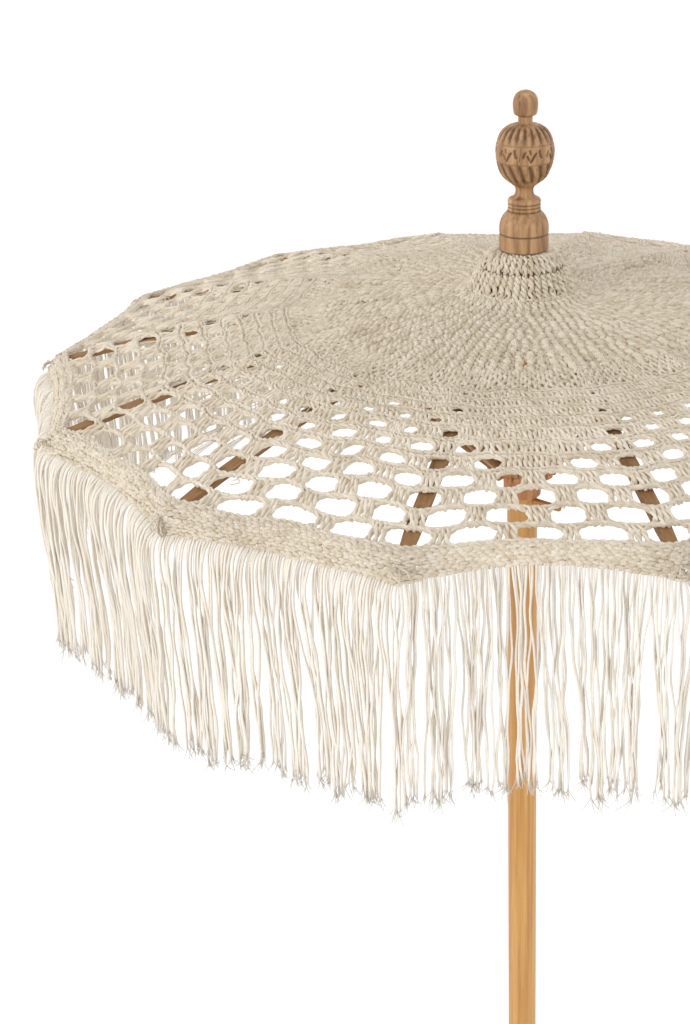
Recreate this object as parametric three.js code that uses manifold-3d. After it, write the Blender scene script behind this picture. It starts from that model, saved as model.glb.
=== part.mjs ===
// Lace parasol: a turned pole that carries a notched top hub, fourteen lath ribs,
// fourteen stretchers on a sliding runner, a locking peg, a crocheted canopy and
// a cotton fringe. Millimetres, +Z up, origin at the centre of the pole's foot.
import * as THREE from "three";
import { mergeVertices, mergeGeometries } from "three/addons/utils/BufferGeometryUtils.js";
import Module from "manifold-3d";

const wasm = await Module();
wasm.setup();

// ---- driving dimensions -------------------------------------------------
const N = 14;                 // ribs, and so canopy panels
const STEP = (2 * Math.PI) / N;
const HALF = STEP / 2;
const AZ0 = (-90 + 14.54) * Math.PI / 180; // azimuth of rib 1, from +X towards +Y
const R = 800;                // canopy corner radius, to the outer edge of the band
const RIM = 1840;             // height of the canopy corners' plane
const CROWN = 112;            // how far the ribs' inner ends stand above that plane

const POLE_R = 26.4;
const POLE_TOP = RIM + 192;
const POLE_CHAMFER = 3;

const FINIAL_BASE = RIM + 197;
const SPIGOT_R = 12, SPIGOT_LEN = 56, SPIGOT_GAP = 0.4;

const HUB_R = 61, HUB_LOW = RIM + 94, HUB_HIGH = RIM + 126;
const HUB_SLOT_IN = 42, HUB_SLOT_W = 12.4;
const RIB_PIVOT_R = 52, RIB_PIVOT_Z = RIM + 111.5;
const WIRE_R = 1.5;
const HUB_PIN_R = 4, HUB_PIN_LEN = 80, HUB_PIN_Z = RIM + 102;

const RIB_TIP_R = 780, RIB_W = 21, RIB_TONGUE_W = 11, RIB_T0 = 10, RIB_T1 = 8;
const LUG_R = 336, LUG_DROP = 15, LUG_W = 8;

const FOOT_R = 50, FOOT_Z = RIM - 192;
const STR_W = 11, STR_D = 12, FORK_W = 16.8, FORK_GAP = 8.8, FORK_PIN_R = 2;

const DISC_R = 61, DISC_LOW = RIM - 205, DISC_HIGH = RIM - 179;
const COLLAR_R = 32.5, COLLAR_LOW = RIM - 247;
const RUNNER_BORE = POLE_R + 0.8;
const RUN_SLOT_IN = 38, RUN_SLOT_W = 13.4;

const PEG_Z = RIM - 253.5, PEG_R_IN = 4.8, PEG_R_OUT = 5.6, PEG_FROM = -31, PEG_TO = 82;
const PEG_AZ = AZ0 + 1.5 * STEP;

const CLOTH_T = 6;            // canopy thickness
const CLOTH_OVER = 12.5;      // canopy top over the ribs' centre line
const RIM_DROP = 7;           // the band's edge under the corners' plane
const EDGE_IN = 10;           // how far the band's edge bows in between two corners
const FRINGE_T = 9, FRINGE_LEN = 322, FRINGE_GAP = 0.8;

// ---- helpers ------------------------------------------------------------
const smooth = (a, b, x) => { const t = Math.min(1, Math.max(0, (x - a) / (b - a))); return t * t * (3 - 2 * t); };
const ribZ = (r) => RIM + CROWN * (1 - (r / R) ** 2); // height of a rib's centre line

function solid(geometry) {
  let g = geometry.index ? geometry.clone() : geometry.clone();
  g.deleteAttribute("normal");
  g.deleteAttribute("uv");
  g = mergeVertices(g, 1e-4);
  return new wasm.Manifold(new wasm.Mesh({
    numProp: 3,
    vertProperties: new Float32Array(g.attributes.position.array),
    triVerts: new Uint32Array(g.index.array),
  }));
}
function geometryOf(manifold) {
  const m = manifold.getMesh();
  const g = new THREE.BufferGeometry();
  const n = m.vertProperties.length / m.numProp;
  const p = new Float32Array(n * 3);
  for (let i = 0; i < n; i++) for (let k = 0; k < 3; k++) p[3 * i + k] = m.vertProperties[m.numProp * i + k];
  g.setAttribute("position", new THREE.BufferAttribute(p, 3));
  g.setIndex(new THREE.BufferAttribute(new Uint32Array(m.triVerts), 1));
  g.computeVertexNormals();
  return g;
}
function cylinder(r, from, to, sides = 16, r2 = r) {
  // a cylinder along a segment
  const a = new THREE.Vector3(...from), b = new THREE.Vector3(...to);
  const g = new THREE.CylinderGeometry(r2, r, a.distanceTo(b), sides);
  g.applyQuaternion(new THREE.Quaternion().setFromUnitVectors(new THREE.Vector3(0, 1, 0), b.clone().sub(a).normalize()));
  g.translate((a.x + b.x) / 2, (a.y + b.y) / 2, (a.z + b.z) / 2);
  return g;
}
function box(x0, x1, y0, y1, z0, z1) {
  const g = new THREE.BoxGeometry(x1 - x0, y1 - y0, z1 - z0);
  g.translate((x0 + x1) / 2, (y0 + y1) / 2, (z0 + z1) / 2);
  return g;
}
function lathe(profile, sides) {
  // profile: [radius, height] pairs; three.js turns about Y, so stand it up along Z
  const g = new THREE.LatheGeometry(profile.map(([r, z]) => new THREE.Vector2(r, z)), sides);
  g.rotateX(Math.PI / 2);
  return g;
}
function side(points, width) {
  // extrudes an outline drawn in the radial plane (x outwards, z up) across its width
  const s = new THREE.Shape(points.map(([x, z]) => new THREE.Vector2(x, z)));
  const g = new THREE.ExtrudeGeometry(s, { depth: width, bevelEnabled: false, steps: 1 });
  g.translate(0, 0, -width / 2);
  g.rotateX(Math.PI / 2); // (x, z, w) -> x, -w, z
  return g;
}
function plan(points, z0, z1) {
  // extrudes an outline drawn from above (x outwards, y sideways) between two heights
  const s = new THREE.Shape(points.map(([x, y]) => new THREE.Vector2(x, y)));
  const g = new THREE.ExtrudeGeometry(s, { depth: z1 - z0, bevelEnabled: false, steps: 1 });
  g.translate(0, 0, z0);
  return g;
}
const turned = (g, az) => { const c = g.clone(); c.rotateZ(az); return c; };

const wood = (hex, rough) => new THREE.MeshStandardMaterial({ color: hex, roughness: rough, metalness: 0 });
const M = {
  pole: wood(0xd8a358, 0.5),
  carved: wood(0xba8c5f, 0.65),
  lath: wood(0x966e41, 0.7),
  turned: wood(0xb07a45, 0.65),
  peg: wood(0xc08a50, 0.6),
  wire: new THREE.MeshStandardMaterial({ color: 0x9a9a96, roughness: 0.4, metalness: 0.9 }),
  crochet: new THREE.MeshStandardMaterial({ color: 0xdacdbc, roughness: 0.95, metalness: 0 }),
  fringe: new THREE.MeshStandardMaterial({ color: 0xece6dc, roughness: 0.95, metalness: 0 }),
};
const parasol = new THREE.Group();
function add(name, geometry, material, parent = parasol, az = 0) {
  const mesh = new THREE.Mesh(geometry, material);
  mesh.name = name;
  mesh.rotation.z = az;
  parent.add(mesh);
  return mesh;
}

// ---- pole ---------------------------------------------------------------
const pegDir = [Math.cos(PEG_AZ), Math.sin(PEG_AZ)];
const onPeg = (s, z) => [pegDir[0] * s, pegDir[1] * s, z];
const PIN_AZ = AZ0 + 0.5 * STEP;
const onPin = (s, z) => [Math.cos(PIN_AZ) * s, Math.sin(PIN_AZ) * s, z];
{
  const bore = SPIGOT_R + SPIGOT_GAP;
  const body = solid(lathe([
    [0, 0], [POLE_R - POLE_CHAMFER, 0], [POLE_R, POLE_CHAMFER], [POLE_R, POLE_TOP],
    [bore, POLE_TOP], [bore, FINIAL_BASE - SPIGOT_LEN - 2], [0, FINIAL_BASE - SPIGOT_LEN - 2],
  ], 36));
  const pegHole = solid(cylinder(PEG_R_OUT + 0.4, onPeg(-60, PEG_Z), onPeg(60, PEG_Z), 16));
  const pinHole = solid(cylinder(HUB_PIN_R + 0.3, onPin(-70, HUB_PIN_Z), onPin(70, HUB_PIN_Z), 16));
  add("pole", geometryOf(body.subtract(pegHole).subtract(pinHole)), M.pole);
}

// ---- finial, turned with its own spigot -----------------------------------
{
  const z = (h) => RIM + h;
  add("finial", lathe([
    [0, FINIAL_BASE - SPIGOT_LEN], [SPIGOT_R, FINIAL_BASE - SPIGOT_LEN],
    [SPIGOT_R, FINIAL_BASE], [41, FINIAL_BASE], [41, z(232)], [38, z(241)], [30, z(249)],
    [27.4, z(254)], [27.4, z(281)],
    [18, z(284)], [14.6, z(295)], [19, z(305)],
    [32, z(315)], [43, z(333)], [48.5, z(361)], [45, z(385)], [36, z(400)], [24, z(407)], [11.8, z(409)],
    [11.8, z(421)], [19.2, z(430)], [21.2, z(439)], [18, z(453)], [9, z(462)], [0, z(462)],
  ], 28), M.carved);
}

// ---- top hub, its wire ring and its cross dowel ----------------------------
{
  let hub = solid(lathe([
    [POLE_R + 0.8, HUB_LOW], [HUB_R - 5, HUB_LOW], [HUB_R, HUB_LOW + 5], [HUB_R, HUB_HIGH - 5], [HUB_R - 5, HUB_HIGH],
    [POLE_R + 0.8, HUB_HIGH], [POLE_R + 0.8, HUB_LOW],
  ], 28));
  const slot = box(HUB_SLOT_IN, 80, -HUB_SLOT_W / 2, HUB_SLOT_W / 2, HUB_LOW - 5, HUB_HIGH + 5);
  for (let i = 0; i < N; i++) hub = hub.subtract(solid(turned(slot, AZ0 + i * STEP)));
  const tunnel = new THREE.TorusGeometry(RIB_PIVOT_R, WIRE_R + 0.9, 6, 42);
  tunnel.translate(0, 0, RIB_PIVOT_Z);
  hub = hub.subtract(solid(tunnel));
  hub = hub.subtract(solid(cylinder(HUB_PIN_R + 0.3, onPin(-70, HUB_PIN_Z), onPin(70, HUB_PIN_Z), 16)));
  add("top_hub", geometryOf(hub), M.turned);
  const ring = new THREE.TorusGeometry(RIB_PIVOT_R, WIRE_R, 6, 42);
  ring.translate(0, 0, RIB_PIVOT_Z);
  add("hub_wire_ring", ring, M.wire);
  add("hub_pin", cylinder(HUB_PIN_R, onPin(-HUB_PIN_LEN / 2, HUB_PIN_Z), onPin(HUB_PIN_LEN / 2, HUB_PIN_Z), 16), M.peg);
}

// ---- runner ---------------------------------------------------------------
{
  let runner = solid(lathe([
    [RUNNER_BORE, COLLAR_LOW], [COLLAR_R - 2, COLLAR_LOW], [COLLAR_R, COLLAR_LOW + 2], [COLLAR_R, DISC_LOW - 4], [COLLAR_R + 3, DISC_LOW],
    [DISC_R - 3, DISC_LOW], [DISC_R, DISC_LOW + 3], [DISC_R, DISC_HIGH - 3], [DISC_R - 3, DISC_HIGH],
    [RUNNER_BORE, DISC_HIGH], [RUNNER_BORE, COLLAR_LOW],
  ], 28));
  const slot = box(RUN_SLOT_IN, 80, -RUN_SLOT_W / 2, RUN_SLOT_W / 2, DISC_LOW - 1, DISC_HIGH + 5);
  for (let i = 0; i < N; i++) runner = runner.subtract(solid(turned(slot, AZ0 + i * STEP)));
  add("runner", geometryOf(runner), M.turned);
}

// ---- locking peg ------------------------------------------------------------
add("locking_peg", cylinder(PEG_R_IN, onPeg(PEG_FROM, PEG_Z), onPeg(PEG_TO, PEG_Z), 16, PEG_R_OUT), M.peg);

// ---- one rib: a bowed lath with a tongue at the hub and a lug underneath ------
const ribGeometry = (() => {
  const top = [], low = [], xs = [RIB_PIVOT_R, 180, 320, 460, 580, 690, RIB_TIP_R];
  for (const x of xs) {
    const t = RIB_T0 + (RIB_T1 - RIB_T0) * (x - RIB_PIVOT_R) / (RIB_TIP_R - RIB_PIVOT_R);
    top.push([x, ribZ(x) + t / 2]);
    low.push([x, ribZ(x) - t / 2]);
  }
  const nose = [];
  for (let k = 1; k < 4; k++) {
    const a = Math.PI / 2 + (Math.PI * k) / 4;
    nose.push([RIB_PIVOT_R + (RIB_T0 / 2) * Math.cos(a), ribZ(RIB_PIVOT_R) + (RIB_T0 / 2) * Math.sin(a)]);
  }
  const outline = [...low, ...top.reverse(), ...nose];
  let rib = solid(side(outline, 40));
  const w = RIB_W / 2, tw = RIB_TONGUE_W / 2;
  const shape = [[40, -tw], [74, -tw], [92, -w], [RIB_TIP_R - 60, -w], [RIB_TIP_R - 6, -w + 3], [RIB_TIP_R, -w + 7],
    [RIB_TIP_R, w - 7], [RIB_TIP_R - 6, w - 3], [RIB_TIP_R - 60, w], [92, w], [74, tw], [40, tw]];
  rib = rib.intersect(solid(plan(shape, RIM - 200, RIM + 300)));
  const zl = ribZ(LUG_R);
  const lug = side([[LUG_R - 9, zl - 1], [LUG_R - 9, zl - LUG_DROP - 3], [LUG_R - 5, zl - LUG_DROP - 7], [LUG_R + 5, zl - LUG_DROP - 7],
    [LUG_R + 9, zl - LUG_DROP - 3], [LUG_R + 9, zl - 1]].reverse(), LUG_W);
  rib = rib.add(solid(lug));
  rib = rib.subtract(solid(cylinder(WIRE_R + 0.9, [RIB_PIVOT_R, -20, RIB_PIVOT_Z], [RIB_PIVOT_R, 20, RIB_PIVOT_Z], 8)));
  rib = rib.subtract(solid(cylinder(FORK_PIN_R + 0.4, [LUG_R, -20, zl - LUG_DROP], [LUG_R, 20, zl - LUG_DROP], 8)));
  return geometryOf(rib);
})();

// ---- one stretcher: a bar with a fork and pin on top and a round foot ----------
const stretcherGeometry = (() => {
  const topX = LUG_R, topZ = ribZ(LUG_R) - LUG_DROP;
  const dx = FOOT_R - topX, dz = FOOT_Z - topZ, len = Math.hypot(dx, dz);
  // drawn along +X from the fork pin, then turned and moved into place
  const end = (cx, r, from) => {
    const o = [];
    for (let k = 0; k <= 4; k++) { const a = from + (Math.PI * k) / 4; o.push([cx + r * Math.cos(a), r * Math.sin(a)]); }
    return o;
  };
  const h = STR_D / 2;
  const outline = [...end(len, h, -Math.PI / 2), ...end(0, h, Math.PI / 2)];
  let bar = solid(side(outline, 40));
  const f = FORK_W / 2, b = STR_W / 2;
  bar = bar.intersect(solid(plan([[-20, -f], [22, -f], [38, -b], [len + 20, -b], [len + 20, b], [38, b], [22, f], [-20, f]], -30, 30)));
  bar = bar.subtract(solid(box(-30, 15.5, -FORK_GAP / 2, FORK_GAP / 2, -30, 30)));
  bar = bar.add(solid(cylinder(FORK_PIN_R, [0, -f + 0.5, 0], [0, f - 0.5, 0], 8)));
  bar = bar.subtract(solid(cylinder(2.3, [len, -20, 0], [len, 20, 0], 8)));
  const g = geometryOf(bar);
  // turn from +X to the direction (dx, 0, dz)
  g.rotateY(-Math.atan2(dz, dx));
  g.translate(topX, 0, topZ);
  return g;
})();

// ---- canopy: one closed shell, fourteen-sided, from the cone to the band -------
function shellGeometry(rows, top, bottom, around, radius) {
  // rows: values of the level coordinate; radius(level, j) etc. give the surface
  const g = new THREE.BufferGeometry(), v = [], idx = [];
  const n = rows.length, m = around;
  for (const f of [top, bottom]) for (let i = 0; i < n; i++) for (let j = 0; j < m; j++) v.push(...f(rows[i], j));
  const at = (s, i, j) => s * n * m + i * m + ((j + m) % m);
  const quad = (a, b, c, d) => idx.push(a, b, c, a, c, d);
  for (let i = 0; i < n - 1; i++) for (let j = 0; j < m; j++) {
    quad(at(0, i, j), at(0, i + 1, j), at(0, i + 1, j + 1), at(0, i, j + 1));
    quad(at(1, i, j), at(1, i, j + 1), at(1, i + 1, j + 1), at(1, i + 1, j));
  }
  for (let j = 0; j < m; j++) {
    quad(at(0, 0, j), at(0, 0, j + 1), at(1, 0, j + 1), at(1, 0, j));
    quad(at(0, n - 1, j), at(1, n - 1, j), at(1, n - 1, j + 1), at(0, n - 1, j + 1));
  }
  g.setAttribute("position", new THREE.BufferAttribute(new Float32Array(v), 3));
  g.setIndex(idx);
  g.computeVertexNormals();
  return g;
}
// the top surface's height along a rib, from the collar under the finial outwards
const CONE = [[27, 192], [54, 192], [66, 182], [73, 168], [82, 148], [93, 134], [110, 126]];
const topZ = (level) => level > 780 ? ribZ(780) + CLOTH_OVER - (CLOTH_OVER + 5.5 + RIM_DROP) * ((level - 780) / 20) ** 1.5 : ribZ(level) + CLOTH_OVER;
{
  const rows = [...CONE.map(([r]) => ({ r, z: RIM + CONE.find((c) => c[0] === r)[1] })),
    ...[150, 220, 320, 440, 560, 680, 780, 792, 800].map((r) => ({ r, z: topZ(r) }))];
  const sub = 2; // samples from a corner to the next
  const place = (row, j, down) => {
    const k = j / sub, corner = Math.floor(k), t = k - corner;
    const a0 = AZ0 + corner * STEP, a1 = a0 + STEP;
    // the cone is round, the panels are flat between their ribs, and the edge bows in
    const flat = smooth(90, 220, row.r);
    const r = row.r;
    const chord = [(1 - t) * Math.cos(a0) + t * Math.cos(a1), (1 - t) * Math.sin(a0) + t * Math.sin(a1)];
    const round = [Math.cos(a0 + t * STEP), Math.sin(a0 + t * STEP)];
    const bow = 1 - (EDGE_IN / R) * 4 * t * (1 - t) * smooth(300, 800, r);
    const x = r * bow * (flat * chord[0] + (1 - flat) * round[0]);
    const y = r * bow * (flat * chord[1] + (1 - flat) * round[1]);
    return [x, y, row.z - (down ? CLOTH_T : 0)];
  };
  const inner = { r: 27 };
  add("canopy", shellGeometry(rows, (row, j) => place(row, j, false), (row, j) => place(row, j, true), N * sub, null), M.crochet);
}

// ---- one corner's fringe: a bent curtain, half a panel each way ------------------
const fringeGeometry = (() => {
  // points of the band's edge, from mid panel to mid panel, seen from above
  const edge = (r, s) => { // s from -1 to 1
    const a = Math.sign(s) * STEP, t = Math.abs(s) / 2;
    const bow = 1 - (EDGE_IN / R) * 4 * t * (1 - t);
    return [r * bow * ((1 - t) + t * Math.cos(a)), r * bow * t * Math.sin(a)];
  };
  const ss = [-0.994, -0.66, -0.33, 0, 0.33, 0.66, 0.994];
  const out = ss.map((s) => edge(R - 1, s)), inn = ss.map((s) => edge(R - 1 - FRINGE_T, s)).reverse();
  const z1 = RIM - RIM_DROP - CLOTH_T - FRINGE_GAP - 0.5;
  return plan([...out, ...inn], z1 - FRINGE_LEN, z1);
})();

for (let i = 0; i < N; i++) {
  const id = String(i + 1).padStart(2, "0"), az = AZ0 - i * STEP;
  add(`rib_${id}`, ribGeometry, M.lath, parasol, az);
  add(`stretcher_${id}`, stretcherGeometry, M.lath, parasol, az);
  add(`fringe_${id}`, fringeGeometry, M.fringe, parasol, az);
}

export default parasol;
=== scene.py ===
# Looks of the lace parasol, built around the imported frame. Metres, +Z up.
import bpy, math
import numpy as np
from mathutils import Vector, Matrix


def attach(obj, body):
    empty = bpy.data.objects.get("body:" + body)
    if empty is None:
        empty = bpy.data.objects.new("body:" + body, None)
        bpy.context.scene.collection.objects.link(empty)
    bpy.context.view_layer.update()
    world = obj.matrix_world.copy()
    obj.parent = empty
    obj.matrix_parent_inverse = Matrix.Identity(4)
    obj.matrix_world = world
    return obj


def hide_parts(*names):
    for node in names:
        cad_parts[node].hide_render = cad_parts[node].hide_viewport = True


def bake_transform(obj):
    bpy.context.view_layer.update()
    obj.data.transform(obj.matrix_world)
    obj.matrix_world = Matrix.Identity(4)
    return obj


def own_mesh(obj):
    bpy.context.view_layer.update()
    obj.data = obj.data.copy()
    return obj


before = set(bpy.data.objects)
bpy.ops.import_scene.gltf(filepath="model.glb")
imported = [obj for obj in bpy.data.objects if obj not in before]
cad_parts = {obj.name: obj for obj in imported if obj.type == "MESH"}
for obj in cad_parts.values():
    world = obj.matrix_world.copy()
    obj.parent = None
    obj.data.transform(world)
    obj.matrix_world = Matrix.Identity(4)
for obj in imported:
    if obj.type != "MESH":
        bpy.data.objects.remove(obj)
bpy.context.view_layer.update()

# ---- the frame's driving dimensions, in metres --------------------------------
N = 14
STEP = 2 * math.pi / N
AZ0 = math.radians(-90 + 14.54)
R, RIM, CROWN = 0.800, 1.840, 0.112
POLE_R, POLE_TOP = 0.0264, RIM + 0.192
PEG_AZ, PEG_Z = AZ0 + 1.5 * STEP, RIM - 0.2535
PIN_AZ, PIN_Z = AZ0 + 0.5 * STEP, RIM + 0.102
EDGE_IN = 0.010
IDS = ["%02d" % (i + 1) for i in range(N)]
az_of = lambda i: AZ0 - i * STEP
rng = np.random.default_rng(20)

def smooth(a, b, x):
    t = np.clip((x - a) / (b - a), 0, 1)
    return t * t * (3 - 2 * t)

def rib_z(r):
    return RIM + CROWN * (1 - (r / R) ** 2)

# ---- materials ------------------------------------------------------------------
def srgb(r, g, b):
    f = lambda c: (c / 255 / 12.92) if c / 255 <= 0.04045 else ((c / 255 + 0.055) / 1.055) ** 2.4
    return (f(r), f(g), f(b), 1.0)

class Nodes:
    def __init__(self, name):
        self.m = bpy.data.materials.new(name)
        self.m.use_nodes = True
        self.t = self.m.node_tree
        self.bsdf = self.t.nodes["Principled BSDF"]
        self.out = self.t.nodes["Material Output"]
    def new(self, kind, **kw):
        n = self.t.nodes.new(kind)
        for k, v in kw.items():
            setattr(n, k, v)
        return n
    def link(self, a, b):
        self.t.links.new(a, b)
    def ramp(self, src, stops, interp="LINEAR"):
        n = self.new("ShaderNodeValToRGB")
        n.color_ramp.interpolation = interp
        e = n.color_ramp.elements
        while len(e) > 1:
            e.remove(e[-1])
        e[0].position, e[0].color = stops[0]
        for p, c in stops[1:]:
            k = e.new(p); k.color = c
        self.link(src, n.inputs["Fac"])
        return n.outputs["Color"]
    def mix(self, kind, a, b, fac):
        n = self.new("ShaderNodeMix", data_type="RGBA", blend_type=kind)
        for sock, v in ((n.inputs[0], fac), (n.inputs[6], a), (n.inputs[7], b)):
            if hasattr(v, "links"): self.link(v, sock)
            else: sock.default_value = v
        return n.outputs[2]
    def math(self, op, a, b=0.0, c=0.0):
        n = self.new("ShaderNodeMath", operation=op)
        for k, v in enumerate((a, b, c)):
            if hasattr(v, "links"): self.link(v, n.inputs[k])
            else: n.inputs[k].default_value = v
        return n.outputs[0]
    def noise(self, vec, scale, detail=4, rough=0.55, dist=0.0):
        n = self.new("ShaderNodeTexNoise")
        n.inputs["Scale"].default_value = scale
        n.inputs["Detail"].default_value = detail
        n.inputs["Roughness"].default_value = rough
        n.inputs["Distortion"].default_value = dist
        self.link(vec, n.inputs["Vector"])
        return n.outputs["Fac"]
    def coords(self, scale=(1, 1, 1), rot=(0, 0, 0)):
        c = self.new("ShaderNodeTexCoord")
        m = self.new("ShaderNodeMapping")
        m.inputs["Scale"].default_value = scale
        m.inputs["Rotation"].default_value = rot
        self.link(c.outputs["Object"], m.inputs["Vector"])
        return m.outputs["Vector"]
    def bump(self, height, strength, dist):
        n = self.new("ShaderNodeBump")
        n.inputs["Strength"].default_value = strength
        n.inputs["Distance"].default_value = dist
        self.link(height, n.inputs["Height"])
        self.link(n.outputs["Normal"], self.bsdf.inputs["Normal"])

def wood(name, light, mid, dark, rough, along=(1, 1, 0.045), pores=0.5, fine=260.0, rings=14.0, rot=(0, 0, 0), bump=0.25, cut=False):
    n = Nodes(name)
    v = n.coords(along, rot)
    broad = n.noise(v, rings, 5, 0.6, 0.8)
    streak = n.noise(v, fine * 0.35, 4, 0.65, 0.25)
    pore = n.noise(v, fine, 3, 0.7, 0.1)
    tone = n.math("ADD", n.math("MULTIPLY", broad, 0.55), n.math("MULTIPLY", streak, 0.45))
    col = n.ramp(tone, [(0.36, dark), (0.49, mid), (0.64, light)])
    hole = n.ramp(pore, [(0.0, (0, 0, 0, 1)), (0.60, (0, 0, 0, 1)), (0.70, (1, 1, 1, 1))])
    deep = tuple(c * 0.42 for c in dark[:3]) + (1,)
    hm = n.math("MULTIPLY", hole, pores)
    col = n.mix("MIX", col, deep, hm)
    if cut:                                    # the carved-out parts are coloured darker, more so where the cut is deeper
        at = n.new("ShaderNodeAttribute", attribute_name="cut", attribute_type="GEOMETRY")
        carved_recess_darkening = n.math("ADD", n.math("MULTIPLY", at.outputs["Fac"], 0.78), n.math("MULTIPLY", n.noise(n.coords(), 60, 3), 0.12))
        col = n.mix("MIX", col, tuple(c * 0.36 for c in dark[:3]) + (1,), carved_recess_darkening)
    n.link(col, n.bsdf.inputs["Base Color"])
    rr = n.math("ADD", n.math("MULTIPLY", streak, 0.18), rough - 0.09)
    n.link(rr, n.bsdf.inputs["Roughness"])
    n.bump(n.math("SUBTRACT", streak, n.math("MULTIPLY", hole, 0.8)), bump, 0.0006)
    return n.m

POLE_WOOD = wood("pole_wood_look", srgb(208, 161, 93), srgb(193, 140, 72), srgb(172, 117, 55), 0.42, (1, 1, 0.03), 0.30, 420.0, 30.0, bump=0.12)
CARVED_WOOD = wood("carved_wood_look", srgb(206, 166, 122), srgb(172, 131, 90), srgb(128, 90, 56), 0.58, (1, 1, 0.09), 0.85, 330.0, 60.0, bump=0.6, cut=True)
TURNED_WOOD = wood("turned_wood_look", srgb(205, 150, 100), srgb(178, 122, 74), srgb(138, 88, 48), 0.62, (1, 1, 0.12), 0.7, 300.0, 40.0, bump=0.4)
PEG_WOOD = wood("peg_wood_look", srgb(208, 156, 98), srgb(188, 132, 74), srgb(150, 98, 52), 0.6, (0.12, 0.12, 1), 0.5, 300.0, 40.0, (0, 0, -PEG_AZ))

def lath_wood(name, az, slope=0.0):
    # grain along the lath: turn the coordinates into the rib's own direction first
    n = Nodes(name)
    c = n.new("ShaderNodeTexCoord")
    m = n.new("ShaderNodeMapping", vector_type="TEXTURE")
    m.inputs["Rotation"].default_value = (0, slope, az)
    n.link(c.outputs["Object"], m.inputs["Vector"])
    s = n.new("ShaderNodeMapping")
    s.inputs["Scale"].default_value = (0.05, 1, 1)
    n.link(m.outputs["Vector"], s.inputs["Vector"])
    v = s.outputs["Vector"]
    broad = n.noise(v, 30, 4, 0.6, 0.5)
    fine = n.noise(v, 210, 4, 0.7, 0.2)
    tone = n.math("ADD", n.math("MULTIPLY", broad, 0.5), n.math("MULTIPLY", fine, 0.5))
    col = n.ramp(tone, [(0.34, srgb(98, 68, 38)), (0.50, srgb(142, 104, 62)), (0.68, srgb(170, 130, 82))])
    n.link(col, n.bsdf.inputs["Base Color"])
    n.bsdf.inputs["Roughness"].default_value = 0.72
    n.bump(fine, 0.35, 0.0008)
    return n.m

def cotton(name, light, mid, dark, lay, sheen, speck=0.16, strength=0.9, worn=False):
    # spun cotton: two plies wound along the yarn, fine fibres, and slow changes of tone
    n = Nodes(name)
    uv = n.new("ShaderNodeUVMap", uv_map="yarn")
    sep = n.new("ShaderNodeSeparateXYZ")
    n.link(uv.outputs["UV"], sep.inputs[0])
    turns = n.math("ADD", n.math("MULTIPLY", sep.outputs[0], 2.0), n.math("MULTIPLY", sep.outputs[1], 1.0 / lay))
    wave = n.math("SINE", n.math("MULTIPLY", turns, 2 * math.pi))
    ply = n.math("POWER", n.math("ABSOLUTE", wave), 0.6)
    fine_turn = n.math("SINE", n.math("MULTIPLY", turns, 10 * math.pi))
    v = n.coords()
    slow = n.noise(v, 26, 3, 0.6)
    grain = n.noise(v, 900, 3, 0.7)
    spot = n.noise(v, 160, 3, 0.6)
    tint = n.new("ShaderNodeAttribute", attribute_name="tint", attribute_type="GEOMETRY")
    tone = n.math("ADD", n.math("ADD", n.math("MULTIPLY", slow, 0.38), n.math("MULTIPLY", spot, 0.30)), n.math("MULTIPLY", tint.outputs["Fac"], 0.30))
    col = n.ramp(tone, [(0.28, dark), (0.50, mid), (0.72, light)])
    # painted shade: the colour is darkened in the grooves between the two plies, where shade falls
    shade = n.math("ADD", n.math("MULTIPLY", ply, speck), 1.0 - speck)
    grey = n.new("ShaderNodeCombineColor")
    for k in range(3):
        n.link(shade, grey.inputs[k])
    col = n.mix("MULTIPLY", col, grey.outputs[0], 1.0)
    if worn:                                   # painted shade: the crown and the band are coloured a little darker than the lace, as less light falls on them
        flatv = n.new("ShaderNodeVectorMath", operation="MULTIPLY")
        n.link(v, flatv.inputs[0]); flatv.inputs[1].default_value = (1, 1, 0)
        size = n.new("ShaderNodeVectorMath", operation="LENGTH")
        n.link(flatv.outputs[0], size.inputs[0])
        far = n.math("ADD", size.outputs["Value"], n.math("MULTIPLY", n.noise(v, 7, 2), 0.10))
        radial_shade_ramp = n.ramp(far, [(0.0, (0.93, 0.93, 0.92, 1)), (0.16, (0.90, 0.895, 0.88, 1)), (0.42, (0.89, 0.88, 0.86, 1)), (0.58, (1, 1, 1, 1)), (0.78, (1, 1, 1, 1)), (0.83, (0.86, 0.85, 0.84, 1))])
        col = n.mix("MULTIPLY", col, radial_shade_ramp, 1.0)
    n.link(col, n.bsdf.inputs["Base Color"])
    n.bsdf.inputs["Roughness"].default_value = 0.92
    n.bsdf.inputs["Sheen Weight"].default_value = sheen
    n.bsdf.inputs["Sheen Roughness"].default_value = 0.6
    h = n.math("ADD", n.math("ADD", ply, n.math("MULTIPLY", fine_turn, 0.10)), n.math("MULTIPLY", grain, 0.45))
    n.bump(h, strength, 0.0007)
    return n.m

CROCHET = cotton("crochet_cotton_look", srgb(250, 240, 223), srgb(240, 227, 206), srgb(219, 203, 177), 0.0055, 0.12, 0.11, 0.7, True)
FRINGE = cotton("fringe_cotton_look", srgb(250, 244, 234), srgb(246, 238, 225), srgb(236, 225, 207), 0.0085, 0.12, 0.07, 0.7)

# ---- meshes ----------------------------------------------------------------------
def link(o):
    bpy.context.scene.collection.objects.link(o)
    return o

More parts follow.
